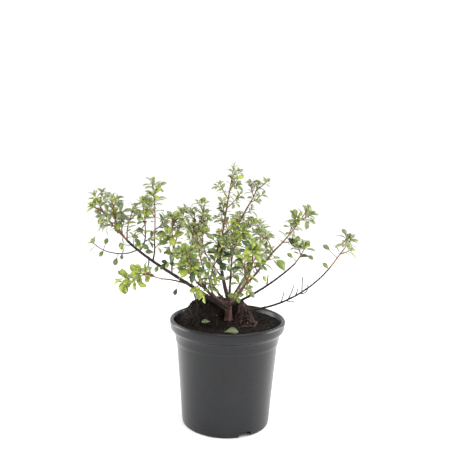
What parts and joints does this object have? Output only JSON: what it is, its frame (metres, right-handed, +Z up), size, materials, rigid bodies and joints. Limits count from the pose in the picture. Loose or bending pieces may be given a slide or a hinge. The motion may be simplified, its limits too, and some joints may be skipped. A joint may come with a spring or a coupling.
{
  "type": "potted escallonia shrub",
  "caption": "Young evergreen shrub in a round grey nursery pot of peat, with a short stem, spreading woody boughs and open sprays of small glossy leaves.",
  "frame": {"origin": "centre of the pot's flat underside, which the plant stands on", "axes": "+Z up the pot's axis, -Y the front that the picture shows, +X to the right in that view"},
  "size_m": [0.4054, 0.2741, 0.3889],
  "materials": {
    "pot_plastic": "moulded dark grey plastic, satin",
    "peat": "moist dark peat with crumbs and root fibres",
    "bark": "thin dark brown bark, matte",
    "foliage": "small glossy green leaves on thin red-brown twigs"
  },
  "bodies": {
    "root": {"pot": "pot_plastic", "soil": "peat", "main_stem": "bark", "bough_back": "bark", "bough_back_left": "bark", "bough_back_right": "bark", "bough_far_left": "bark", "bough_far_left_low": "bark", "bough_far_left_second": "bark", "bough_far_left_upright": "bark", "bough_far_left_wisp": "bark", "bough_front_left": "bark", "bough_front_right": "bark", "bough_inner_front": "bark", "bough_inner_left": "bark", "bough_leader": "bark", "bough_left": "bark", "bough_left_inner": "bark", "bough_left_low": "bark", "bough_left_sucker": "bark", "bough_right": "bark", "bough_right_low": "bark", "bough_right_lowest": "bark", "bough_right_upper": "bark", "foliage_back": "foliage", "foliage_back_high": "foliage", "foliage_back_left": "foliage", "foliage_back_right": "foliage", "foliage_far_left_crown": "foliage", "foliage_far_left_inner": "foliage", "foliage_far_left_low": "foliage", "foliage_far_left_second": "foliage", "foliage_far_left_tip": "foliage", "foliage_far_left_upright": "foliage", "foliage_far_left_wisp": "foliage", "foliage_front_left": "foliage", "foliage_front_right": "foliage", "foliage_front_sprig": "foliage", "foliage_inner_front": "foliage", "foliage_inner_left": "foliage", "foliage_leader": "foliage", "foliage_leader_side": "foliage", "foliage_left_back": "foliage", "foliage_left_crown": "foliage", "foliage_left_inner": "foliage", "foliage_left_inner_high": "foliage", "foliage_left_low": "foliage", "foliage_left_sucker": "foliage", "foliage_right": "foliage", "foliage_right_low": "foliage", "foliage_right_lowest": "foliage", "foliage_right_pale": "foliage", "foliage_right_upper": "foliage"}
  },
  "joints": []
}
